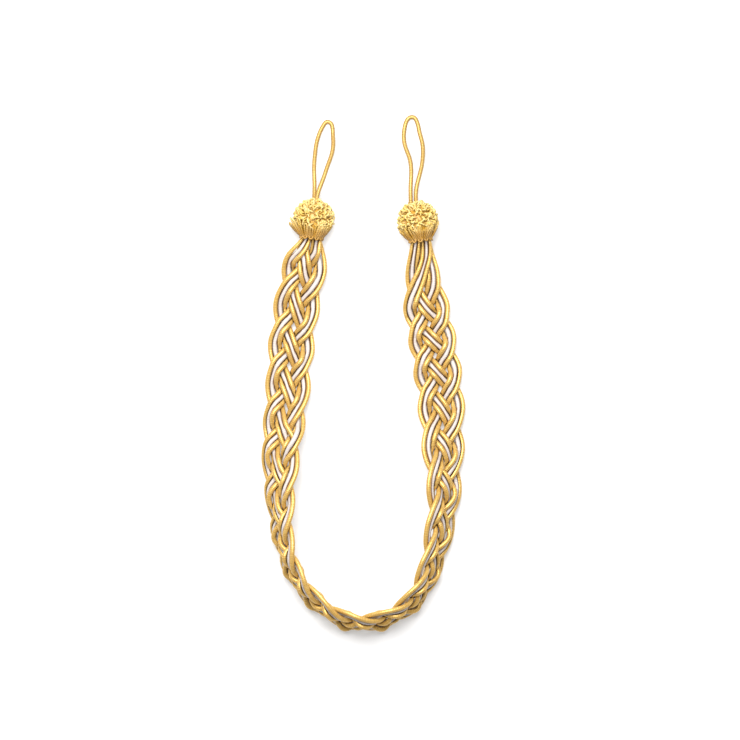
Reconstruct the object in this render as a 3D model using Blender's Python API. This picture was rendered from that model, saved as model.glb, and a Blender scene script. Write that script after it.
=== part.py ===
"""Braided curtain tieback: a flat four-strand plait of triple cords, lying in a U.

Each strand of the plait is three gimp cords side by side, gold, silver, gold.
At both ends the twelve cords are bound into a ball of looped fringe, and a short
cord loop for the wall hook leaves the crown of each ball.  The plait lies flat
along its two arms and stands on its outer edge round the bottom of the U.

Units: millimetres in the constants and routes, metres in Blender.  +Z is up,
+Y points from the bottom of the U to the hook loops, and the origin lies on the
surface under the middle of the tieback.
"""

import math
import random
from collections import namedtuple

import bmesh
import bpy
import numpy as np

MM = 0.001

# ---- driving dimensions, millimetres ----
CORD_D = 2.85           # one cord of the plait
NECK_SHARE = 0.68       # share of its thickness that a cord keeps where the binding squeezes it
CLEARANCE = 0.3         # left between cords that touch
GAP = 0.3               # between a cord's end and the ball that holds it
CAP_TILT = 0.6          # the end of a cord that meets the ball at a slant reaches further
CORD_COLOURS = ["gold", "silver", "gold"]
STRAND_NAMES = ["a", "b", "c", "d"]
SWING = 9.0             # a strand's middle swings this far either side of the plait's line
NECK_SWING = 4.8        # the same inside the bindings
RINGS_A_LOBE = 4        # rings of a cord's tube to one lobe of the plait
STEPS_A_RING = 4        # finer points between two rings, where the cords are kept apart
CORD_SIDES_CODE = 1     # bevel resolution that gives six sides
FLOOR_RADIUS = 1.245    # from a cord's middle down to its flat underside
SETTLE_ROUNDS = 420

# One row for each lobe of the plait, from the left ball round to the right one.
# x, y: the plait's line; roll: degrees that its face turns outwards; skew: how far the
# inner edge runs ahead, as a share of the width; width: share of the full width;
# lift: extra height of the plait's line, which rises to the balls.
Lobe = namedtuple("Lobe", "x y roll skew width lift")
LOBES = [
    Lobe(-33.9, 86.5, 0, 0.00, 0.93, 9.1),
    Lobe(-40.8, 57.4, 0, 0.28, 0.93, 2.4),
    Lobe(-45.3, 29.8, 0, 0.33, 0.93, 0.0),
    Lobe(-48.3, 4.4, 0, 0.33, 0.94, 0.0),
    Lobe(-50.1, -22.7, 14, 0.33, 0.93, 0.0),
    Lobe(-53.7, -48.1, 34, 0.33, 1.00, 0.0),
    Lobe(-54.2, -75.8, 51, 0.33, 1.05, 0.0),
    Lobe(-52.8, -101.3, 68, 0.28, 1.03, 0.0),
    Lobe(-47.3, -123.7, 76, 0.15, 1.00, 0.0),
    Lobe(-35.7, -142.7, 77, 0.05, 0.96, 0.0),
    Lobe(-16.1, -157.8, 78, 0.00, 0.96, 0.0),
    Lobe(5.1, -161.1, 76, 0.00, 0.97, 0.0),
    Lobe(26.3, -152.3, 73, 0.00, 0.98, 0.0),
    Lobe(39.7, -134.9, 69, 0.00, 0.99, 0.0),
    Lobe(47.1, -111.5, 60, 0.00, 1.00, 0.0),
    Lobe(51.7, -85.1, 50, 0.00, 1.00, 0.0),
    Lobe(51.9, -60.2, 38, 0.00, 1.00, 0.0),
    Lobe(51.2, -35.1, 14, 0.00, 1.00, 0.0),
    Lobe(49.5, -10.0, 0, 0.00, 1.00, 0.0),
    Lobe(46.3, 11.2, 0, 0.00, 0.98, 0.0),
    Lobe(42.7, 32.1, 0, 0.00, 0.94, 0.0),
    Lobe(39.2, 53.4, 0, 0.00, 0.92, 2.4),
    Lobe(37.0, 86.0, 0, 0.00, 0.93, 9.1),
]
LAST_LOBE = len(LOBES) - 1
ROLL_LIMIT = 82         # the plait never turns right over
OPENING = (0.5, 0.95)  # lobes that the plait takes to open to its full width, left and right

# ---- the balls of looped fringe ----
# heading: degrees from +Y to the ball's axis, from neck to crown; flap: the quarter of the
# skirt whose loops stand out further, as an angle round the axis, or None.
Ball = namedtuple("Ball", "name x y heading flap")
BALLS = [
    Ball("left", -32.4, 100.1, -6.5, 180.0),
    Ball("right", 35.2, 98.5, 8.0, None),
]
BALL_HEIGHT = 12.4      # the ball's middle above the surface

# The ball's core from the neck to the crown: along the axis, and the radius there.
# loop: how far the looped fringe stands out between this ring and the next one.
Ring = namedtuple("Ring", "along radius loop")
BALL_RINGS = [
    Ring(-12.9, 6.8, 0.0),
    Ring(-12.2, 7.1, 0.5),
    Ring(-8.4, 9.3, 1.4),
    Ring(-4.4, 11.3, 1.9),
    Ring(-1.0, 10.9, 2.6),
    Ring(2.4, 10.5, 2.8),
    Ring(5.6, 9.2, 2.8),
    Ring(8.4, 7.8, 2.4),
    Ring(10.4, 6.0, 0.0),
]
BALL_SIDES = 18
LOOP_TAPER = 0.62       # a loop's end against its root
LOOP_LEAN = 1.2         # how far a loop's end leans to one side
FLOOR_REACH = 0.7       # loops that come this near the surface rest level on it
FLAP_REACH = 5.2        # extra reach of the loops that stand out
FLAP_ANGLE = 36.0
FLAP_ROWS = (-9.0, -0.5)

# ---- the hook loops ----
LOOP_CORD_D = 2.8
LOOP_RINGS = 38
# x, y, z of the cord's middle, from crown to tip and back to the crown
Point = namedtuple("Point", "x y z")
HOOK_LOOPS = {
    "left": [
        Point(-32.2, 111.2, 11.0), Point(-31.8, 121.4, 11.9), Point(-32.1, 133.9, 9.6),
        Point(-31.5, 142.4, 6.6), Point(-30.1, 151.4, 3.6), Point(-28.1, 157.1, 2.0),
        Point(-25.5, 161.7, 1.3), Point(-22.8, 163.5, 1.3), Point(-20.8, 161.3, 1.3),
        Point(-20.0, 155.9, 1.9), Point(-19.7, 149.4, 4.4), Point(-20.9, 141.4, 7.4),
        Point(-23.5, 133.9, 10.4), Point(-26.5, 124.9, 13.2), Point(-29.3, 117.4, 14.4),
        Point(-30.6, 111.1, 14.0),
    ],
    "right": [
        Point(30.7, 109.1, 12.4), Point(30.5, 120.9, 12.6), Point(30.9, 131.4, 10.6),
        Point(29.7, 139.9, 7.8), Point(27.3, 146.4, 5.4), Point(26.1, 153.4, 3.2),
        Point(26.7, 159.7, 1.8), Point(28.9, 165.1, 1.3), Point(31.5, 166.6, 1.3),
        Point(33.9, 164.7, 1.3), Point(36.0, 157.9, 1.9), Point(38.1, 149.4, 4.0),
        Point(38.5, 141.9, 6.6), Point(37.5, 133.4, 9.8), Point(35.5, 125.4, 12.0),
        Point(34.0, 117.9, 12.8), Point(34.1, 109.6, 12.4),
    ],
}

# ---- finishes: base colour, roughness, metallic ----
FINISHES = {
    "gold_cord": ((0.78, 0.52, 0.17, 1.0), 0.42, 0.15),
    "silver_cord": ((0.74, 0.73, 0.74, 1.0), 0.38, 0.25),
    "fringe_yarn": ((0.86, 0.66, 0.28, 1.0), 0.55, 0.05),
    "loop_cord": ((0.80, 0.55, 0.20, 1.0), 0.50, 0.10),
}


def spline(knots, values, at):
    """Natural cubic spline through the values, one column for each coordinate."""
    knots = np.asarray(knots, float)
    values = np.asarray(values, float)
    h = np.diff(knots)
    n = len(knots)
    system = np.eye(n)
    right = np.zeros_like(values)
    for i in range(1, n - 1):
        system[i, i - 1:i + 2] = h[i - 1], 2 * (h[i - 1] + h[i]), h[i]
        right[i] = 6 * ((values[i + 1] - values[i]) / h[i] - (values[i] - values[i - 1]) / h[i - 1])
    bend = np.linalg.solve(system, right)
    i = np.clip(np.searchsorted(knots, at, side="right") - 1, 0, n - 2)
    a = (knots[i + 1] - at)[:, None]
    b = (at - knots[i])[:, None]
    h = h[i][:, None]
    return (
        bend[i] * a ** 3 / (6 * h) + bend[i + 1] * b ** 3 / (6 * h)
        + (values[i] / h - bend[i] * h / 6) * a
        + (values[i + 1] / h - bend[i + 1] * h / 6) * b
    )


def eased(t):
    """The plait's phase in lobes: the strands leave both ends side by side, not crossing."""
    left = LAST_LOBE - t
    start = np.where(t < 1, 2 * t ** 2 - t ** 3, t)
    return np.where(left < 1, LAST_LOBE - (2 * left ** 2 - left ** 3), start)


def opened(t):
    """0 inside both bindings, 1 where the plait has opened to its full width."""
    away = np.clip(np.minimum(t / OPENING[0], (LAST_LOBE - t) / OPENING[1]), 0, 1)
    return away * away * (3 - 2 * away)


def squeeze(t):
    """Share of its full thickness that a cord keeps: both bindings press it thinner."""
    return NECK_SHARE + (1 - NECK_SHARE) * opened(t)


def pitch(share):
    """Centre to centre of cords that lie side by side or on each other."""
    return CORD_D * share + CLEARANCE


def layer_of(phase):
    """Over is +1 and under is -1: a strand changes layer between crossings and at the edges."""
    turns = np.degrees(phase) % 360
    wave = np.interp(turns, [0, 67.5, 112.5, 180, 247.5, 292.5, 360], [0, 180, 360, 540, 720, 900, 1080])
    return np.clip(-1.5 * np.sin(np.radians(wave)), -1, 1)


class Plait:
    """The plait's line and its turning face, sampled at even steps of its lobes."""

    def __init__(self):
        self.t = np.linspace(0, LAST_LOBE, LAST_LOBE * RINGS_A_LOBE * STEPS_A_RING + 1)
        rows = spline(np.arange(len(LOBES)), LOBES, self.t)
        at = Lobe(*rows.T)
        line = np.stack([at.x, at.y], axis=1)
        steps = np.linalg.norm(np.diff(line, axis=0), axis=1)
        self.length = np.concatenate([[0], np.cumsum(steps)])
        self.skew = at.skew
        self.swing = NECK_SWING + (SWING * at.width - NECK_SWING) * opened(self.t)
        self.pitch = pitch(squeeze(self.t))
        roll = np.radians(np.clip(at.roll, 0, ROLL_LIMIT))
        half_width = self.swing + 1.5 * self.pitch
        height = half_width * np.sin(roll) + self.pitch * np.cos(roll) + np.maximum(at.lift, 0)
        along = np.gradient(line, self.length, axis=0)
        along /= np.linalg.norm(along, axis=1)[:, None]
        inward = np.stack([-along[:, 1], along[:, 0]], axis=1)
        self.centre = np.column_stack([line, height])
        self.across = np.column_stack([inward * np.cos(roll)[:, None], np.sin(roll)])
        self.face = np.column_stack([-inward * np.sin(roll)[:, None], np.cos(roll)])

    def sampled(self, columns, length):
        return np.column_stack([np.interp(length, self.length, column) for column in columns.T])

    def place(self, length, side, height):
        """World points from the distance along, the distance across and the height off the face."""
        across = self.sampled(self.across, length) * side[:, None]
        return self.sampled(self.centre, length) + across + self.sampled(self.face, length) * height[:, None]


def cord_routes(plait):
    """Where the cords would run if they were thin: strand by strand, three abreast."""
    routes = []
    for strand in range(len(STRAND_NAMES)):
        phase = np.radians(45 + 90 * (eased(plait.t) + strand))
        side = -plait.swing * np.cos(phase)
        along = plait.length + plait.skew * side
        run = np.gradient(along)
        step = np.gradient(side)
        size = np.hypot(run, step)
        height = plait.pitch / 2 * layer_of(phase)
        for cord in range(len(CORD_COLOURS)):
            offset = (cord - 1) * plait.pitch
            routes.append(plait.place(along - offset * step / size, side + offset * run / size, height))
    return np.array(routes)


def meet_balls(routes):
    """Brings the cords' ends up to the flat necks of the balls, a gap away from them."""
    for end, ball in ((0, BALLS[0]), (-1, BALLS[1])):
        heading = math.radians(ball.heading)
        axis = np.array([-math.sin(heading), math.cos(heading), 0])
        neck = np.array([ball.x, ball.y, BALL_HEIGHT]) + axis * (BALL_RINGS[0].along - GAP - CAP_TILT)
        short = (neck - routes[:, end]) @ axis
        routes[:, end] += short[:, None] * axis
    return routes


def straight_runs(count):
    """The share that each ring has in each finer point, along straight runs between rings."""
    rings = (count - 1) // STEPS_A_RING + 1
    at = np.arange(count) / STEPS_A_RING
    return np.clip(1 - np.abs(at[:, None] - np.arange(rings)[None, :]), 0, 1)


def settle(routes, diameter):
    """Pushes the cords apart until none is nearer than a diameter, and returns their rings.

    The cords are straight between rings, so nearness is tested at the finer points and
    each push goes back to the rings on both sides.  All cords share their sampling along
    the plait, so a point's neighbours lie within a few samples of its own number.
    """
    shares = straight_runs(routes.shape[1])
    home = routes[:, ::STEPS_A_RING].copy()
    rings = home.copy()
    count = routes.shape[1]
    reach = 6
    others = ~np.eye(len(routes), dtype=bool)[:, :, None]
    shifts = []
    for shift in range(-reach, reach + 1):
        mine = slice(max(0, -shift), count - max(0, shift))
        theirs = slice(max(0, shift), count - max(0, -shift))
        shifts.append((mine, theirs, 0.5 * (diameter[mine] + diameter[theirs])))
    for turn in range(SETTLE_ROUNDS):
        points = shares @ rings
        push = np.zeros_like(points)
        hits = np.zeros(points.shape[:2])
        for mine, theirs, wanted in shifts:
            apart = points[:, None, mine] - points[None, :, theirs]
            away = np.sqrt(np.einsum("abpi,abpi->abp", apart, apart)) + 1e-9
            short = np.where(others, np.clip(wanted - away, 0, None), 0)
            push[:, mine] += np.einsum("abpi,abp->api", apart, short / away) * 0.5
            hits[:, mine] += (short > 0).sum(axis=1)
        if turn < SETTLE_ROUNDS * 0.8:
            bend = rings[:, :-2] + rings[:, 2:] - 2 * rings[:, 1:-1]
            stiff = np.zeros_like(rings)
            stiff[:, 2:-2] = bend[:, :-2] + bend[:, 2:] - 2 * bend[:, 1:-1]
            rings += 0.012 * (home - rings) - 0.02 * stiff
        weight = shares.T @ hits[..., None]
        rings += 1.3 * (shares.T @ push) / np.maximum(weight, 1e-6)
        rings[:, 0] = home[:, 0]
        rings[:, -1] = home[:, -1]
        rings[..., 2] = np.maximum(rings[..., 2], FLOOR_RADIUS)
    return rings


def clear_scene():
    for old in list(bpy.data.objects):
        bpy.data.objects.remove(old)
    collection = bpy.data.collections.new("curtain_tieback")
    bpy.context.scene.collection.children.link(collection)
    return collection


def finish(name):
    colour, roughness, metallic = FINISHES[name]
    material = bpy.data.materials.new(name)
    material.use_nodes = True
    shader = material.node_tree.nodes["Principled BSDF"]
    shader.inputs["Base Color"].default_value = colour
    shader.inputs["Roughness"].default_value = roughness
    shader.inputs["Metallic"].default_value = metallic
    return material


def add_cord(collection, name, points, diameter, shares, material):
    """A cord as a curve with straight runs, its radius following the share at each point."""
    curve = bpy.data.curves.new(name, "CURVE")
    curve.dimensions = "3D"
    curve.twist_mode = "Z_UP"
    curve.bevel_depth = diameter / 2 * MM
    curve.bevel_resolution = CORD_SIDES_CODE
    curve.use_fill_caps = True
    run = curve.splines.new("POLY")
    run.points.add(len(points) - 1)
    for spot, place, share in zip(run.points, points, shares):
        spot.co = (place[0] * MM, place[1] * MM, place[2] * MM, 1)
        spot.radius = share
    curve.materials.append(material)
    cord = bpy.data.objects.new(name, curve)
    collection.objects.link(cord)


def add_plait(collection, materials):
    plait = Plait()
    shares = squeeze(plait.t)
    routes = settle(meet_balls(cord_routes(plait)), pitch(shares))
    ring_shares = shares[::STEPS_A_RING]
    for number, route in enumerate(routes):
        strand, cord = divmod(number, len(CORD_COLOURS))
        colour = CORD_COLOURS[cord]
        name = f"strand_{STRAND_NAMES[strand]}_{cord + 1}_{colour}"
        add_cord(collection, name, route, CORD_D, ring_shares, materials[f"{colour}_cord"])


def ring_below(face):
    """Number of the core's ring on the neck side of a face."""
    middle = face.calc_center_median().y
    return sum(middle > ring.along * MM for ring in BALL_RINGS) - 1


def add_ball(collection, ball, material):
    """A turned core whose faces are drawn out into the looped fringe, level on the surface."""
    bm = bmesh.new()
    profile = [bm.verts.new((ring.radius * MM, ring.along * MM, 0)) for ring in BALL_RINGS]
    edges = [bm.edges.new(pair) for pair in zip(profile, profile[1:])]
    bmesh.ops.spin(
        bm, geom=profile + edges, axis=(0, 1, 0), cent=(0, 0, 0),
        angle=math.tau, steps=BALL_SIDES, use_merge=True,
    )
    bmesh.ops.remove_doubles(bm, verts=bm.verts, dist=1e-6)
    fringe = [face for face in bm.faces if BALL_RINGS[ring_below(face)].loop]
    bmesh.ops.holes_fill(bm, edges=[edge for edge in bm.edges if edge.is_boundary])
    bmesh.ops.recalc_face_normals(bm, faces=bm.faces)
    drawn = bmesh.ops.extrude_discrete_faces(bm, faces=fringe)["faces"]
    for face in drawn:
        middle = face.calc_center_median()
        row = ring_below(face)
        length = BALL_RINGS[row].loop
        out = middle.normalized()
        turn = math.degrees(math.atan2(middle.z, middle.x))
        chance = random.Random(f"{ball.name} ball, row {row}, {round(turn)} degrees")
        if ball.flap is not None and FLAP_ROWS[0] * MM < middle.y < FLAP_ROWS[1] * MM:
            off = abs((turn - ball.flap + 180) % 360 - 180)
            length += FLAP_REACH * max(0, 1 - off / FLAP_ANGLE)
        side = out.cross((0, 1, 0)).normalized() * chance.uniform(-1, 1)
        lean = side * LOOP_LEAN * MM
        tip = middle + out * length * chance.uniform(0.8, 1.1) * MM + lean * min(1, length / 3)
        on_floor = tip.z < (FLOOR_REACH - BALL_HEIGHT) * MM
        for vert in face.verts:
            vert.co = tip + (vert.co - middle) * LOOP_TAPER
            vert.co.z = -BALL_HEIGHT * MM if on_floor else max(vert.co.z, -BALL_HEIGHT * MM)
    mesh = bpy.data.meshes.new(f"{ball.name}_ball")
    bm.to_mesh(mesh)
    bm.free()
    mesh.materials.append(material)
    obj = bpy.data.objects.new(f"{ball.name}_ball", mesh)
    obj.location = (ball.x * MM, ball.y * MM, BALL_HEIGHT * MM)
    obj.rotation_euler.z = math.radians(ball.heading)
    collection.objects.link(obj)


def add_hook_loop(collection, side, material):
    points = np.array(HOOK_LOOPS[side])
    knots = np.concatenate([[0], np.cumsum(np.linalg.norm(np.diff(points, axis=0), axis=1))])
    route = spline(knots, points, np.linspace(0, knots[-1], LOOP_RINGS))
    add_cord(collection, f"{side}_hook_loop", route, LOOP_CORD_D, [1] * LOOP_RINGS, material)


def main():
    collection = clear_scene()
    materials = {name: finish(name) for name in FINISHES}
    add_plait(collection, materials)
    for ball in BALLS:
        add_ball(collection, ball, materials["fringe_yarn"])
        add_hook_loop(collection, ball.name, materials["loop_cord"])


main()
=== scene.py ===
import math
import random

import bmesh
import bpy
import numpy as np
from mathutils import Matrix, Vector
from mathutils.kdtree import KDTree


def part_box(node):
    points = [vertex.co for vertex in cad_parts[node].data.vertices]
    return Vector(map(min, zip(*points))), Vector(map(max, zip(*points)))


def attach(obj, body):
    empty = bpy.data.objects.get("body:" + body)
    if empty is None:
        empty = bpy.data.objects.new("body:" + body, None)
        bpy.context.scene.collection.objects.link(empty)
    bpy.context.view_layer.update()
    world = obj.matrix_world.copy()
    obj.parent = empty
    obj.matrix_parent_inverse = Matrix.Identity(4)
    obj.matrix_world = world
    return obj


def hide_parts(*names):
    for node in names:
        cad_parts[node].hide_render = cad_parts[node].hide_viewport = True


# A braided curtain tieback: twelve gimp cords plaited flat, a ball of looped fringe at
# both ends and a cord loop for the wall hook on each ball.  Sizes are in millimetres.
mm = 0.001
pieceWeld = 1e-7             # metres, points of a new piece closer than this are one
solidWeld = 1e-6             # metres, the same for a solid's loose triangles

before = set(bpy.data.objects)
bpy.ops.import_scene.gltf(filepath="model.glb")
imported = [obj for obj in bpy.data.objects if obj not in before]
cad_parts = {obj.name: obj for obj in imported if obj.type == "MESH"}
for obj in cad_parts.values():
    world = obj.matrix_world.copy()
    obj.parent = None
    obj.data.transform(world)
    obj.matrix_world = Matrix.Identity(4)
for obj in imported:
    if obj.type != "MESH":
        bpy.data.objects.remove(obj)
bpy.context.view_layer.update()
print("frame loaded")


def linearColour(hexValue):
    # sRGB hex, as a paint chart gives it, to Blender's linear colour
    channels = [int(hexValue[i:i + 2], 16) / 255 for i in (1, 3, 5)]
    return [c / 12.92 if c <= 0.04045 else ((c + 0.055) / 1.055) ** 2.4 for c in channels] + [1]


def addNode(tree, kind, settings=None, links=None):
    # one node with its settings, socket values and incoming links
    node = tree.nodes.new(kind)
    for key, value in (settings or {}).items():
        if isinstance(key, str) and key in node.bl_rna.properties:
            setattr(node, key, value)
        else:
            node.inputs[key].default_value = value
    for key, source in (links or {}).items():
        tree.links.new(source, node.inputs[key])
    return node


def newMaterial(name):
    material = bpy.data.materials.new(name)
    material.use_nodes = True
    tree = material.node_tree
    return material, tree, tree.nodes["Principled BSDF"]


mixA, mixB, mixed = 6, 7, 2  # a Mix node's two colour sockets and its colour output


def paintedCreaseShade(tree, colour, shadeColour, strength):
    # the piece's own colour, browned by painted shade where its per-point attribute says that it lies in
    # a crack between cords or deep in the fringe
    paintedShade = addNode(tree, "ShaderNodeAttribute", {"attribute_name": "paintedShade"})
    depth = addNode(tree, "ShaderNodeMath", {"operation": "MULTIPLY", 1: strength},
                    {0: paintedShade.outputs["Fac"]})
    shadedColour = addNode(tree, "ShaderNodeMix", {"data_type": "RGBA", mixB: linearColour(shadeColour)},
                      {"Factor": depth.outputs[0], mixA: colour})
    return shadedColour.outputs[mixed]


gimpFinish = {
    "threadPitch": 0.28,     # rayon threads lie this far apart in the wrap
    "wrapPitch": 1.1,        # one turn of the wrapping band, coarser than real so that it shows
    "bumpDepth": 0.02,
    "bumpStrength": 0.5,
    "grooveShade": (0.34, 0.5),   # turns from a rib's top, where the groove's painted shade sets in and is full
    "grooveShadeStrength": 0.55,    # how much of it shows there
    "streaks": (1.2, 1.6),   # uneven dyeing: patches to one turn, and to one mm along
    "streakDetail": 3.0,
    "ramp": (0.36, 0.64),    # from the deeper to the lighter colour
    "gloss": 0.3,
    # how strongly painted shade browns a cord where it touches a neighbour
    "paintedCreaseShade": 1.0,
}


def gimpMaterial(name, light, deep, grooveShade, shadeColour, roughness, metallic):
    # Rayon gimp: a cotton core wrapped tightly with bright viscose thread, so each turn shows as a fine
    # rib with a satin line along the cord, and painted shade darkens the groove between the turns.
    material, tree, shader = newMaterial(name)
    uv = addNode(tree, "ShaderNodeUVMap", {"uv_map": "wrap"})
    # U holds turns round the cord and V millimetres along it
    parts = addNode(tree, "ShaderNodeSeparateXYZ", links={"Vector": uv.outputs["UV"]})
    turn = addNode(tree, "ShaderNodeMath", {"operation": "DIVIDE", 1: gimpFinish["wrapPitch"]},
                   {0: parts.outputs["Y"]})
    ridge = addNode(tree, "ShaderNodeMath", {"operation": "SUBTRACT"},
                    {0: turn.outputs[0], 1: parts.outputs["X"]})
    valley = addNode(tree, "ShaderNodeMath", {"operation": "PINGPONG", 1: 0.5}, {0: ridge.outputs[0]})
    thread = addNode(tree, "ShaderNodeMath", {"operation": "DIVIDE", 1: gimpFinish["threadPitch"]},
                     {0: parts.outputs["Y"]})
    slanted = addNode(tree, "ShaderNodeMath", {"operation": "SUBTRACT"},
                      {0: thread.outputs[0], 1: parts.outputs["X"]})
    fine = addNode(tree, "ShaderNodeMath", {"operation": "PINGPONG", 1: 0.5}, {0: slanted.outputs[0]})
    # streaks run round the cord, a thread or two wide
    streaks = addNode(tree, "ShaderNodeMapping", {"Scale": (*gimpFinish["streaks"], 1.0)},
                      {"Vector": uv.outputs["UV"]})
    mottle = addNode(tree, "ShaderNodeTexNoise", {"Scale": 1.0, "Detail": gimpFinish["streakDetail"]},
                     {"Vector": streaks.outputs[0]})
    shade = addNode(tree, "ShaderNodeValToRGB", links={"Fac": mottle.outputs["Fac"]})
    for stop, position, tone in zip(shade.color_ramp.elements, gimpFinish["ramp"], (deep, light)):
        stop.position = position
        stop.color = linearColour(tone)
    # painted shade in the groove between the wrap's turns
    begins, ends = gimpFinish["grooveShade"]
    dip = addNode(tree, "ShaderNodeMapRange",
                  {"From Min": begins, "From Max": ends, "To Max": gimpFinish["grooveShadeStrength"]},
                  {"Value": valley.outputs[0]})
    colour = addNode(tree, "ShaderNodeMix", {"data_type": "RGBA", mixB: linearColour(grooveShade)},
                     {"Factor": dip.outputs[0], mixA: shade.outputs["Color"]})
    bump = addNode(tree, "ShaderNodeBump",
                   {"Strength": gimpFinish["bumpStrength"], "Distance": gimpFinish["bumpDepth"] * mm},
                   {"Height": fine.outputs[0]})
    shadedColour = paintedCreaseShade(tree, colour.outputs[mixed], shadeColour, gimpFinish["paintedCreaseShade"])
    tree.links.new(shadedColour, shader.inputs["Base Color"])
    tree.links.new(bump.outputs["Normal"], shader.inputs["Normal"])
    shader.inputs["Roughness"].default_value = roughness
    shader.inputs["Specular IOR Level"].default_value = gimpFinish["gloss"]
    shader.inputs["Metallic"].default_value = metallic
    return material


yarnFinish = {
    "plies": 2.0,
    "plyShade": (0.3, 0.5),   # plies from a ply's top, where the painted shade between the plies sets in and is full
    "plyShadeStrength": 0.6,    # how much of it shows there
    "mottle": 420.0,         # patches to a metre, each about 2.4 mm
    "mottleDetail": 2.0,
    "loopToLoop": 0.35,      # how far the dye differs from loop to loop
    "ramp": (0.5, 0.8),
    "roughness": 0.4,
    # how strongly painted shade browns the yarn in its cracks, inside the fringe and down the skirt
    "paintedCreaseShade": 0.9,
}


def yarnMaterial(name, light, deep, grooveShade, shadeColour):
    # Two-ply rayon fringe yarn: softly twisted and bright, dyed a little unevenly from loop to loop,
    # with painted shade as a darker line where the two plies meet, and painted shade giving a deeper
    # gold inside the fringe and down the skirt.
    material, tree, shader = newMaterial(name)
    uv = addNode(tree, "ShaderNodeUVMap", {"uv_map": "wrap"})
    # U holds turns round the yarn on top of the loop's own whole number
    parts = addNode(tree, "ShaderNodeSeparateXYZ", links={"Vector": uv.outputs["UV"]})
    plies = addNode(tree, "ShaderNodeMath", {"operation": "MULTIPLY", 1: yarnFinish["plies"]},
                    {0: parts.outputs["X"]})
    ply = addNode(tree, "ShaderNodeMath", {"operation": "PINGPONG", 1: 0.5}, {0: plies.outputs[0]})
    number = addNode(tree, "ShaderNodeMath", {"operation": "FLOOR"}, {0: parts.outputs["X"]})
    dye = addNode(tree, "ShaderNodeTexWhiteNoise", {"noise_dimensions": "1D"}, {"W": number.outputs[0]})
    place = addNode(tree, "ShaderNodeTexCoord")
    mottle = addNode(tree, "ShaderNodeTexNoise",
                     {"Scale": yarnFinish["mottle"], "Detail": yarnFinish["mottleDetail"]},
                     {"Vector": place.outputs["Object"]})
    both = addNode(tree, "ShaderNodeMath", {"operation": "MULTIPLY_ADD", 1: yarnFinish["loopToLoop"]},
                   {0: dye.outputs["Value"], 2: mottle.outputs["Fac"]})
    shade = addNode(tree, "ShaderNodeValToRGB", links={"Fac": both.outputs[0]})
    for stop, position, tone in zip(shade.color_ramp.elements, yarnFinish["ramp"], (deep, light)):
        stop.position = position
        stop.color = linearColour(tone)
    # painted shade along the line where the two plies meet
    begins, ends = yarnFinish["plyShade"]
    dip = addNode(tree, "ShaderNodeMapRange",
                  {"From Min": begins, "From Max": ends, "To Max": yarnFinish["plyShadeStrength"]},
                  {"Value": ply.outputs[0]})
    colour = addNode(tree, "ShaderNodeMix", {"data_type": "RGBA", mixB: linearColour(grooveShade)},
                     {"Factor": dip.outputs[0], mixA: shade.outputs["Color"]})
    shadedColour = paintedCreaseShade(tree, colour.outputs[mixed], shadeColour, yarnFinish["paintedCreaseShade"])
    tree.links.new(shadedColour, shader.inputs["Base Color"])
    shader.inputs["Roughness"].default_value = yarnFinish["roughness"]
    return material


# The last colour of each finish is its painted shade, the brown it turns in cracks.
# Bright rayon reflects partly in its own gold, so the cord's satin line is yellow, not white.
goldGimp = gimpMaterial(
    "gold rayon gimp", light="#E2BC6E", deep="#D0A556", grooveShade="#80521A", shadeColour="#3E2002",
    roughness=0.36, metallic=0.4)
# The silver is undyed bright rayon: white along the top, with brown lines of painted shade where it
# meets gold.
silverGimp = gimpMaterial(
    "silver rayon gimp", light="#CFC7C2", deep="#C2B9B3", grooveShade="#95877A", shadeColour="#6E4414",
    roughness=0.4, metallic=0.0)
# The hook loops' thin cord is covered in the same gold, a little duller.
loopGimp = gimpMaterial(
    "thin gold covered cord", light="#BE9C5A", deep="#AE8A48", grooveShade="#8C6527", shadeColour="#553408",
    roughness=0.4, metallic=0.4)
fringeYarn = yarnMaterial(
    "looped fringe yarn", light="#E6D08C", deep="#D8B85E", grooveShade="#B48628", shadeColour="#A0680C")
# The braid that carries the fringe, seen only deep between the loops, where it looks darker: its own
# gold, made darker than the yarn's as painted shade.
coreWinding = yarnMaterial(
    "wound fringe braid", light="#C89A3A", deep="#B8882C", grooveShade="#A0741C", shadeColour="#A0741C")
print("finishes made")


def smoothLine(points, step):
    # natural cubic spline through the points, read off every step
    knots = np.concatenate([[0], np.cumsum(np.linalg.norm(np.diff(points, axis=0), axis=1))])
    gaps = np.diff(knots)
    count = len(knots)
    system = np.eye(count)
    right = np.zeros_like(points)
    for i in range(1, count - 1):
        system[i, i - 1:i + 2] = gaps[i - 1], 2 * (gaps[i - 1] + gaps[i]), gaps[i]
        turned = (points[i + 1] - points[i]) / gaps[i] - (points[i] - points[i - 1]) / gaps[i - 1]
        right[i] = 6 * turned
    bend = np.linalg.solve(system, right)
    at = np.linspace(0, knots[-1], max(2, round(knots[-1] / step) + 1))
    i = np.clip(np.searchsorted(knots, at, side="right") - 1, 0, count - 2)
    ahead = (knots[i + 1] - at)[:, None]
    behind = (at - knots[i])[:, None]
    gap = gaps[i][:, None]
    line = (bend[i] * ahead ** 3 + bend[i + 1] * behind ** 3) / (6 * gap)
    line += (points[i] / gap - bend[i] * gap / 6) * ahead
    return line + (points[i + 1] / gap - bend[i + 1] * gap / 6) * behind


def unit(vectors):
    return vectors / np.linalg.norm(vectors, axis=-1, keepdims=True)


def lengthAlong(line):
    return np.concatenate([[0], np.cumsum(np.linalg.norm(np.diff(line, axis=0), axis=1))])


def carried(values, coarse, fine):
    # values at the points of one line, read off at the same shares of a finer line
    return np.interp(fine / fine[-1], coarse / coarse[-1], values)


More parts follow.
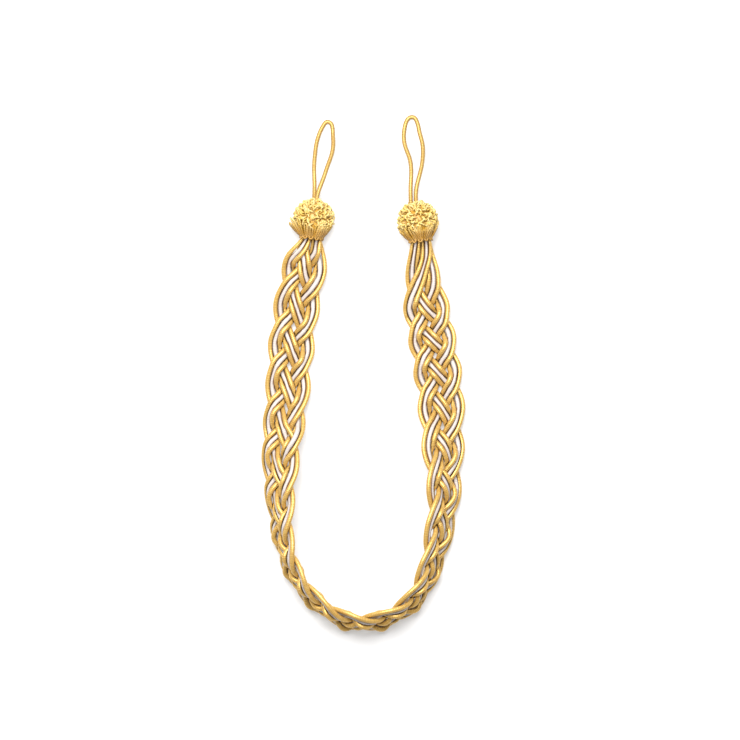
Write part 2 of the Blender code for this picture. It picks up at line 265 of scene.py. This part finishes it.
def sections(line):
    # two directions across the line at each point, carried along it without twisting
    along = unit(np.gradient(line, axis=0))
    leaning = (0.3, 0.2, 1.0)    # along no cord
    start = np.cross(along[0], leaning)
    across = np.empty_like(line)
    across[0] = start / math.sqrt(start @ start)
    for i in range(1, len(line)):
        kept = across[i - 1] - along[i] * (across[i - 1] @ along[i])
        across[i] = kept / math.sqrt(kept @ kept)
    return across, np.cross(along, across)


def quadsOf(grid):
    # the four corners of each face of a lattice, whether of point numbers or of UVs
    return np.stack([grid[:-1, :-1], grid[:-1, 1:], grid[1:, 1:], grid[1:, :-1]], axis=2)


def treeOf(points):
    tree = KDTree(len(points))
    for number, point in enumerate(points):
        tree.insert(point, number)
    tree.balance()
    return tree


def meshPiece(name, points, faces, uvs, paintedShade, material):
    # points in millimetres, faces of four corners, one UV for each face corner
    mesh = bpy.data.meshes.new(name)
    mesh.from_pydata((points * mm).tolist(), [], faces.tolist())
    mesh.attributes.new("paintedShade", "FLOAT", "POINT").data.foreach_set("value", paintedShade.astype(np.float32))
    layer = mesh.uv_layers.new(name="wrap")
    layer.data.foreach_set("uv", uvs.astype(np.float32).ravel())
    bm = bmesh.new()
    bm.from_mesh(mesh)
    bmesh.ops.remove_doubles(bm, verts=bm.verts, dist=pieceWeld)
    bmesh.ops.holes_fill(bm, edges=[edge for edge in bm.edges if edge.is_boundary])
    bmesh.ops.recalc_face_normals(bm, faces=bm.faces)
    bm.to_mesh(mesh)
    bm.free()
    mesh.shade_smooth()
    mesh.materials.append(material)
    piece = bpy.data.objects.new(name, mesh)
    bpy.context.scene.collection.objects.link(piece)
    return piece


gimp = {
    "swell": 1.09,           # the cord's diameter against its solid's, so that neighbours touch
    "leastShare": 0.77,      # of the full thickness, where the solids are drawn in at the balls
    "sides": 12,
    "rowsAWrap": 4,          # rows of the mesh to one turn of the wrap
    "ribDepth": 0.035,       # how far a rib stands out and a groove lies in
    "fade": 3,               # wraps over which the ribs fade at a cord's ends
    "tuckedEnd": 2.2,        # how far a cord's end runs on into its ball
    "step": 1.6,             # spacing of the points that are kept apart
    "rounds": 24,
    "push": 0.3,             # share of an overlap that each cord gives way in one round
    "easedIn": 5,            # points over which a cord leaves its bound end
    "finer": 3,              # times as many points, where cracks are looked for
    "shadeWidth": 0.85,      # closer than this to its neighbour, a cord's side gets painted shade
    "shadeEdge": 2.2,        # how sharply the painted shade sets in
    "capAngle": 75,          # degrees, sharper than any edge but those round a solid's ends
}
cordNames = [name for name in sorted(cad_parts) if name.startswith("strand_")]


def ringsOf(nodeName, near):
    # centres and radii of the rings of a cord's solid, walked from its end nearest a point
    bm = bmesh.new()
    bm.from_mesh(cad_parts[nodeName].data)
    bmesh.ops.remove_doubles(bm, verts=bm.verts, dist=solidWeld)
    sharp = [edge for edge in bm.edges if edge.calc_face_angle(0) > math.radians(gimp["capAngle"])]
    seed = min({vert for edge in sharp for vert in edge.verts}, key=lambda vert: (vert.co - near).length)
    ring = {seed}
    while True:
        joined = {vert for edge in sharp if ring & set(edge.verts) for vert in edge.verts}
        if joined == ring:
            break
        ring = joined
    rings = [ring]
    seen = set(ring)
    while rings[-1]:
        ahead = {edge.other_vert(vert) for vert in rings[-1] for edge in vert.link_edges} - seen
        rings.append(ahead)
        seen |= ahead
    corners = [np.array([vert.co[:] for vert in ring]) / mm for ring in rings[:-1]]
    bm.free()
    centres = np.array([ring.mean(axis=0) for ring in corners])
    radii = [np.linalg.norm(ring - centre, axis=1).mean() for ring, centre in zip(corners, centres)]
    return centres, np.array(radii)


def liftOff(line, girth):
    # keeps a cord's ribs on the surface that it lies on
    line[:, 2] = np.maximum(line[:, 2], girth + gimp["ribDepth"])


def nestled(lines, radii):
    # pushes neighbouring cords apart to their full thickness, and up off the surface
    owner = np.concatenate([np.full(len(line), number) for number, line in enumerate(lines)])
    girth = np.concatenate(radii)
    splits = np.cumsum([len(line) for line in lines])[:-1]
    points = np.concatenate(lines)
    before = points.copy()
    widest = 2 * girth.max()
    for turn in range(gimp["rounds"]):
        tree = treeOf(points)
        push = np.zeros_like(points)
        for number, point in enumerate(points):
            for place, other, distance in tree.find_range(point, widest):
                overlap = girth[number] + girth[other] - distance
                if owner[other] != owner[number] and overlap > 0:
                    push[number] += (point - place) / distance * overlap * gimp["push"]
        for line in np.split(push, splits):
            line[1:-1] = (line[:-2] + 2 * line[1:-1] + line[2:]) / 4    # evened out along the cord
            line[[0, -1]] = 0
        points += push
        liftOff(points, girth)
    moved = points - before
    for line in np.split(moved, splits):
        reach = np.arange(len(line))
        line *= np.clip(np.minimum(reach, reach[::-1]) / gimp["easedIn"], 0, 1)[:, None]
    points = before + moved
    liftOff(points, girth)
    return np.split(points, splits)


def runOn(line, distance):
    # the line lengthened straight on at both ends
    start = line[0] - unit(line[1] - line[0]) * distance
    end = line[-1] + unit(line[-1] - line[-2]) * distance
    return np.concatenate([[start], line, [end]])


def shadeBetweenCords(points, neighbours):
    # painted shade, where shade falls between cords: from 0 on the open side of a cord to 1 where it
    # touches the next one
    places, girths = neighbours
    tree = treeOf(places)
    nearest = [tree.find(point)[1:] for point in points]
    gaps = np.array([distance - girths[number] for number, distance in nearest])
    return np.clip(gimp["shadeEdge"] * (1 - gaps / gimp["shadeWidth"]), 0, 1)


def gimpCord(name, points, radii, material, neighbours=None):
    # a tube whose rows climb like the wrapping thread, so that the ribs run round the cord
    rowStep = gimpFinish["wrapPitch"] / gimp["rowsAWrap"]
    line = smoothLine(points, rowStep)
    girth = carried(radii, lengthAlong(points), lengthAlong(line))
    liftOff(line, girth)
    across, upward = sections(line)
    lead, sides, rows = gimp["rowsAWrap"], gimp["sides"], len(line)
    row = np.arange(rows + lead)[:, None]
    column = np.arange(sides)[None, :]
    station = np.clip(row + lead * column / sides - lead, 0, rows - 1)
    low = np.minimum(station.astype(int), rows - 2)
    share = (station - low)[..., None]
    fading = np.minimum(station, rows - 1 - station) / (gimp["fade"] * lead)
    ridge = np.cos(math.tau * row / lead) * gimp["ribDepth"] * np.clip(fading, 0, 1)
    radius = (np.interp(station, np.arange(rows), girth) + ridge)[..., None]
    angle = (math.tau * column / sides)[..., None]
    centre = line[low] * (1 - share) + line[low + 1] * share
    first = unit(across[low] * (1 - share) + across[low + 1] * share)
    second = unit(upward[low] * (1 - share) + upward[low + 1] * share)
    points = centre + (first * np.cos(angle) + second * np.sin(angle)) * radius
    number = np.arange((rows + lead) * sides).reshape(rows + lead, sides)
    seam = number[np.minimum(row[:, 0] + lead, rows + lead - 1), 0]    # one turn closes a wrap higher
    faces = quadsOf(np.column_stack([number, seam]))
    u = np.arange(sides + 1)[None, :] / sides
    v = (row + lead * u - lead) * rowStep
    corners = quadsOf(np.stack(np.broadcast_arrays(u, v), axis=-1))
    points = points.reshape(-1, 3)
    # painted shade where the cord touches its neighbours
    paintedShade = np.zeros(len(points)) if neighbours is None else shadeBetweenCords(points, neighbours)
    return meshPiece(name, points, faces.reshape(-1, 4), corners.reshape(-1, 2), paintedShade, material)


def addPlait():
    start = sum(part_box("left_ball"), Vector()) / 2
    lines, girths = [], []
    for name in cordNames:
        centres, radii = ringsOf(name, start)
        line = smoothLine(centres, gimp["step"])
        radii = np.maximum(radii, radii.max() * gimp["leastShare"]) * gimp["swell"]
        lines.append(line)
        girths.append(carried(radii, lengthAlong(centres), lengthAlong(line)))
    lines = nestled(lines, girths)
    dense = [smoothLine(line, gimp["step"] / gimp["finer"]) for line in lines]
    dense = [(line, np.interp(np.linspace(0, 1, len(line)), np.linspace(0, 1, len(girth)), girth))
             for line, girth in zip(dense, girths)]
    for number, (name, line, girth) in enumerate(zip(cordNames, lines, girths)):
        silver = name.endswith("silver")
        girth = np.concatenate([girth[:1], girth, girth[-1:]])
        others = dense[:number] + dense[number + 1:]
        neighbours = [np.concatenate(parts) for parts in zip(*others)]
        material = silverGimp if silver else goldGimp
        cord = gimpCord("gimp_" + name, runOn(line, gimp["tuckedEnd"]), girth, material, neighbours)
        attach(cord, "root")
        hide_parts(name)
        print("cord", name, "length", round(lengthAlong(line)[-1]), "mm")


addPlait()


def addHookLoop(side):
    name = side + "_hook_loop"
    start = sum(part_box(side + "_ball"), Vector()) / 2
    centres, radii = ringsOf(name, start)
    girth = np.concatenate([radii[:1], radii, radii[-1:]])
    loop = gimpCord("cord_" + name, runOn(centres, gimp["tuckedEnd"]), girth, loopGimp)
    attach(loop, "root")
    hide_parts(name)


for side in ("left", "right"):
    addHookLoop(side)
print("hook loops made")


balls = {                    # where each lies, degrees its axis turns off +Y, where a flap sticks out
    "left": {"centre": (-32.4, 100.1, 12.4), "heading": -6.5, "flap": 180.0},
    "right": {"centre": (35.2, 98.5, 12.4), "heading": 8.0, "flap": None},
}
yarn = {
    "thickness": 1.1,
    "sides": 8,
    "lay": 3.0,              # length of one twist of the two plies
    "plyDepth": 0.14,        # how deep the groove between the plies is, as a share of the radius
    "row": 0.6,              # spacing of the rings along the yarn
    "uvInset": 0.001,        # keeps U inside the loop's own whole number
    "laidFlat": 0.57,        # thicknesses that a loop's middle keeps above the surface
    "inside": (13.0, 10.2),  # painted shade: the fringe turns a deeper gold between these distances from the middle
    "shadeInsideMost": 0.75,
    "below": (-2.0, -9.0),   # and, as painted shade, down the skirt, between these places along the axis
    "shadeBelowMost": 0.8,
}


def plyTube(line, radius, number):
    # a two-ply yarn: an oval section that turns along the line
    across, upward = sections(line)
    far = lengthAlong(line)[:, None]
    column = np.arange(yarn["sides"] + 1)[None, :]
    around = math.tau * column / yarn["sides"]
    angle = around + math.tau * far / yarn["lay"]
    size = radius * (1 + yarn["plyDepth"] * np.cos(2 * around))
    points = line[:, None] + (across[:, None] * np.cos(angle)[..., None]
                              + upward[:, None] * np.sin(angle)[..., None]) * size[..., None]
    rows, sides = len(line), yarn["sides"]
    corner = np.arange(rows * sides).reshape(rows, sides)
    faces = quadsOf(np.column_stack([corner, corner[:, 0]]))
    u = number + yarn["uvInset"] + (1 - 2 * yarn["uvInset"]) * column / sides
    corners = quadsOf(np.stack(np.broadcast_arrays(u, far), axis=-1))
    return points[:, :-1].reshape(-1, 3), faces.reshape(-1, 4), corners.reshape(-1, 2)


def risen(values, start, end):
    # from 0 at the start to 1 at the end, and level beyond
    return np.clip((start - values) / (start - end), 0, 1)


def yarnPiece(name, paths, centre, turn, material):
    points, faces, corners, count = [], [], [], 0
    for number, path in enumerate(paths):
        tube = plyTube(path, yarn["thickness"] / 2, number)
        points.append(tube[0])
        faces.append(tube[1] + count)
        corners.append(tube[2])
        count += len(tube[0])
    points = np.concatenate(points)
    # painted shade deep inside the fringe and down the skirt towards the neck
    inside = risen(np.linalg.norm(points - centre, axis=1), *yarn["inside"])
    below = risen((points - centre) @ turn[:, 1], *yarn["below"])
    paintedShade = np.maximum(yarn["shadeInsideMost"] * inside, yarn["shadeBelowMost"] * below)
    return meshPiece(name, points, np.concatenate(faces), np.concatenate(corners), paintedShade, material)


def aroundAxis(along, radius, degrees):
    turn = math.radians(degrees)
    return np.array([radius * math.cos(turn), along, radius * math.sin(turn)])


crown = {
    "loops": 280,
    "band": (-22, 76),       # degrees from the ball's widest part up towards its crown
    "turn": 137.508,         # the golden angle, which spreads them evenly
    "waver": 8,              # degrees off that
    "root": 9.2,             # how far from the ball's middle the loops start
    "tip": 13.3,             # and how far out they reach
    "tipSpread": (0.93, 1.03),
    "tousle": 0.12,          # how far the loops lean off straight
    "width": (1.6, 2.2),
    "rootWidth": 0.45,       # the legs' distance from the loop's middle line, in half widths
    "legWidth": 0.95,
    "legPlace": 0.55,        # share of the way out where that is so
    "bend": (0, 40, 90, 140, 180),    # degrees round the tip
}


def loopPath(root, tip, widthwise, width):
    # a loop of yarn: out from the root, round the tip and back
    out = tip - root
    half = widthwise * width / 2
    reach = np.linalg.norm(out)
    out = out / reach
    straight = reach - width / 2
    leg = root + out * straight * crown["legPlace"]
    left = [root - half * crown["rootWidth"], leg - half * crown["legWidth"]]
    bend = [root + out * (straight + math.sin(a) * width / 2) - half * math.cos(a)
            for a in np.radians(crown["bend"])]
    right = [leg + half * crown["legWidth"], root + half * crown["rootWidth"]]
    return np.array(left + bend + right)


def crownPaths(chance):
    # short loops over the whole crown
    paths = []
    lowest, highest = (math.sin(math.radians(degrees)) for degrees in crown["band"])
    for number in range(crown["loops"]):
        climb = lowest + (highest - lowest) * (number + 0.5) / crown["loops"]
        turn = number * crown["turn"] + chance.uniform(-crown["waver"], crown["waver"])
        rise = math.asin(climb)
        out = aroundAxis(math.sin(rise), math.cos(rise), turn)
        askew = np.array([chance.gauss(0, crown["tousle"]) for axis in range(3)])
        aim = unit(out + askew)
        widthwise = unit(np.cross(aim, [chance.gauss(0, 1) for axis in range(3)]))
        tip = aim * crown["tip"] * chance.uniform(*crown["tipSpread"])
        paths.append(loopPath(out * crown["root"], tip, widthwise, chance.uniform(*crown["width"])))
    return paths


skirt = {
    "loops": 24,
    "waver": 2.5,            # degrees off even spacing
    "lean": 3,               # degrees, as a usual difference
    "looseLoops": 16,        # more of them at any place, which lie on top
    "looseLean": 9,
    "looseOut": 0.4,
    "top": (-6.6, -1.6),     # where a loop ends along the axis
    "wide": (11.7, 12.5),    # and how far from it
    "flapReach": 3.2,        # how much further out the loops of the flap go
    "flapRise": 0.35,        # and up, as a share of that
    "flapAngle": 62.0,       # degrees to either side of the flap's middle
    "flapEdge": 2.2,         # how sharply it sets in
    "foot": (-12.2, 6.9),    # where all start: along the axis, radius
    "bulge": 0.85,           # under 1, the loops lean out early
    "legs": ((0, 0.2), (0.3, 0.25), (0.6, 0.27), (0.85, 0.27)),    # share of the way up, half width
    "tipWidth": 0.14,        # half widths are shares of the spacing between two loops
}


def skirtPaths(chance, flap):
    # long loops side by side, from the neck up and out to the ball's widest part
    paths = []
    step = 360 / skirt["loops"]
    foot, narrow = skirt["foot"]
    for number in range(skirt["loops"] + skirt["looseLoops"]):
        loose = number >= skirt["loops"]
        turn = (chance.uniform(0, 360) if loose
                else step * number + chance.uniform(-skirt["waver"], skirt["waver"]))
        lean = chance.gauss(0, skirt["looseLean"] if loose else skirt["lean"])
        extra = 0
        if flap is not None:
            off = abs((turn - flap + 180) % 360 - 180)
            near = max(0, 1 - off / skirt["flapAngle"])
            extra = skirt["flapReach"] * min(1, skirt["flapEdge"] * near)
        top = chance.uniform(*skirt["top"]) + extra * skirt["flapRise"]
        wide = chance.uniform(*skirt["wide"]) + extra + skirt["looseOut"] * loose
        legs = []
        for sign in (-1, 1):
            leg = []
            for share, apart in skirt["legs"]:
                along = foot + (top - foot) * share
                radius = narrow + (wide - narrow) * share ** skirt["bulge"]
                leg.append(aroundAxis(along, radius, turn + lean * share + sign * step * apart))
            legs.append(leg)
        over = [aroundAxis(top, wide, turn + lean + sign * step * skirt["tipWidth"]) for sign in (-1, 1)]
        paths.append(np.array(legs[0] + over + legs[1][::-1]))
    return paths


header = {
    "loops": 12,
    "waver": 4,              # degrees off even spacing
    "drop": (-13.7, -12.9),  # where a scallop's lowest point lies along the axis
    "halfWidth": (0.27, 0.34),    # as a share of the spacing between two scallops
    "root": (-10.2, 7.8),    # along the axis, radius
    "side": (-11.6, 7.5),
    "shoulder": (0.6, 7.5),  # above the lowest point, radius
    "shoulderWidth": 0.75,   # as a share of the half width
    "lowestRadius": 7.6,
}


def headerPaths(chance):
    # the small scallops of the braid's edge, which cover the cords' ends at the neck
    paths = []
    step = 360 / header["loops"]
    above, radius = header["shoulder"]
    for number in range(header["loops"]):
        turn = step * number + chance.uniform(-header["waver"], header["waver"])
        drop = chance.uniform(*header["drop"])
        wide = step * chance.uniform(*header["halfWidth"])
        shoulder = wide * header["shoulderWidth"]
        down = [aroundAxis(*header["root"], turn - wide), aroundAxis(*header["side"], turn - wide),
                aroundAxis(drop + above, radius, turn - shoulder)]
        lowest = aroundAxis(drop, header["lowestRadius"], turn)
        back = [aroundAxis(drop + above, radius, turn + shoulder),
                aroundAxis(*header["side"], turn + wide), aroundAxis(*header["root"], turn + wide)]
        paths.append(np.array(down + [lowest] + back))
    return paths


winding = {
    "sides": 40,
    "outline": [             # along the axis from neck to crown, radius
        (-12.9, 5.6), (-12.0, 6.0), (-8.4, 7.8), (-4.4, 9.6), (-1.0, 10.2),
        (2.4, 9.9), (5.6, 8.6), (8.4, 6.5), (10.2, 3.6),
    ],
}


def addCore(name, place):
    # the wound braid inside the fringe, drawn up ring by ring from the neck to the crown
    bpy.ops.object.select_all(action="DESELECT")
    low, neck = winding["outline"][0]
    bpy.ops.mesh.primitive_circle_add(
        vertices=winding["sides"], radius=neck * mm, fill_type="NGON",
        location=(0, low * mm, 0), rotation=(math.radians(90), 0, 0))
    core = bpy.context.object
    core.name = core.data.name = name
    bpy.ops.object.transform_apply()
    bpy.ops.object.mode_set(mode="EDIT")
    for (along, radius), (ahead, wider) in zip(winding["outline"], winding["outline"][1:]):
        bpy.ops.mesh.extrude_region_move(TRANSFORM_OT_translate={"value": (0, (ahead - along) * mm, 0)})
        bpy.ops.transform.resize(value=(wider / radius,) * 3, center_override=(0, ahead * mm, 0))
    bpy.ops.mesh.select_all(action="SELECT")
    bpy.ops.mesh.normals_make_consistent(inside=False)
    bpy.ops.object.mode_set(mode="OBJECT")
    core.data.uv_layers[0].name = "wrap"
    core.data.transform(place)
    core.data.shade_smooth()
    core.data.materials.append(coreWinding)
    return core


def addBall(side):
    spot = balls[side]
    chance = random.Random(side + " ball")
    centre = np.array(spot["centre"])
    heading = Matrix.Rotation(math.radians(spot["heading"]), 3, "Z")
    turn = np.array(heading)
    paths = crownPaths(chance) + skirtPaths(chance, spot["flap"]) + headerPaths(chance)
    placed = []
    for path in paths:
        line = smoothLine(path, yarn["row"]) @ turn.T + centre
        line[:, 2] = np.maximum(line[:, 2], yarn["thickness"] * yarn["laidFlat"])
        placed.append(line)
    fringe = yarnPiece(side + "_ball_fringe", placed, centre, turn, fringeYarn)
    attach(fringe, "root")
    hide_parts(side + "_ball")
    place = Matrix.Translation(Vector(centre * mm)) @ heading.to_4x4()
    core = addCore(side + "_ball_core", place)
    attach(core, "root")
    print(side, "ball made,", len(paths), "loops of yarn")


for side in ("left", "right"):
    addBall(side)


studio = {
    "lookAt": (4.17, 2.0),   # the middle of the picture
    "fieldWidth": 481.0,     # across the picture
    "lens": 360.0,
    "sensor": 36.0,
    "keyPlace": (-0.1, 0.42, 1.08),    # metres
    "keySize": 0.8,
    "keyPower": 29.0,
    "worldStrength": 0.26,
    "floorSize": 8,
    "floorColour": "#C2C2C2",
    "floorRoughness": 0.9,
    "floorGlow": 0.37,       # the card is lit through from below, which thins the shadows
}


def addFloor():
    # a plain sheet of matt card, pale enough to look white in this light
    bpy.ops.object.select_all(action="DESELECT")
    bpy.ops.mesh.primitive_plane_add(size=studio["floorSize"], location=(0, 0, 0))
    floor = bpy.context.object
    floor.name = "floor"
    card, tree, shader = newMaterial("matt white card")
    shader.inputs["Base Color"].default_value = linearColour(studio["floorColour"])
    shader.inputs["Roughness"].default_value = studio["floorRoughness"]
    shader.inputs["Emission Color"].default_value = linearColour("#FFFFFF")
    shader.inputs["Emission Strength"].default_value = studio["floorGlow"]
    floor.data.materials.append(card)


def addLight():
    world = bpy.data.worlds.new("studio")
    world.use_nodes = True
    sky = world.node_tree.nodes["Background"]
    sky.inputs["Color"].default_value = linearColour("#FFFFFF")
    sky.inputs["Strength"].default_value = studio["worldStrength"]
    bpy.context.scene.world = world
    bpy.ops.object.light_add(type="AREA", location=studio["keyPlace"])
    key = bpy.context.object
    key.name = "key"
    key.data.size = studio["keySize"]
    key.data.energy = studio["keyPower"]
    key.rotation_euler = Vector(studio["keyPlace"]).to_track_quat("Z", "Y").to_euler()


def addCamera():
    # straight above, and far off, as the photograph was taken
    x, y = (value * mm for value in studio["lookAt"])
    distance = studio["lens"] * studio["fieldWidth"] * mm / studio["sensor"]
    bpy.ops.object.camera_add(location=(x, y, distance), rotation=(0, 0, 0))
    camera = bpy.context.object
    camera.data.lens = studio["lens"]
    camera.data.sensor_width = studio["sensor"]
    bpy.context.scene.camera = camera


addFloor()
addLight()
addCamera()
bpy.context.scene.view_settings.view_transform = "Standard"
print("stage set")
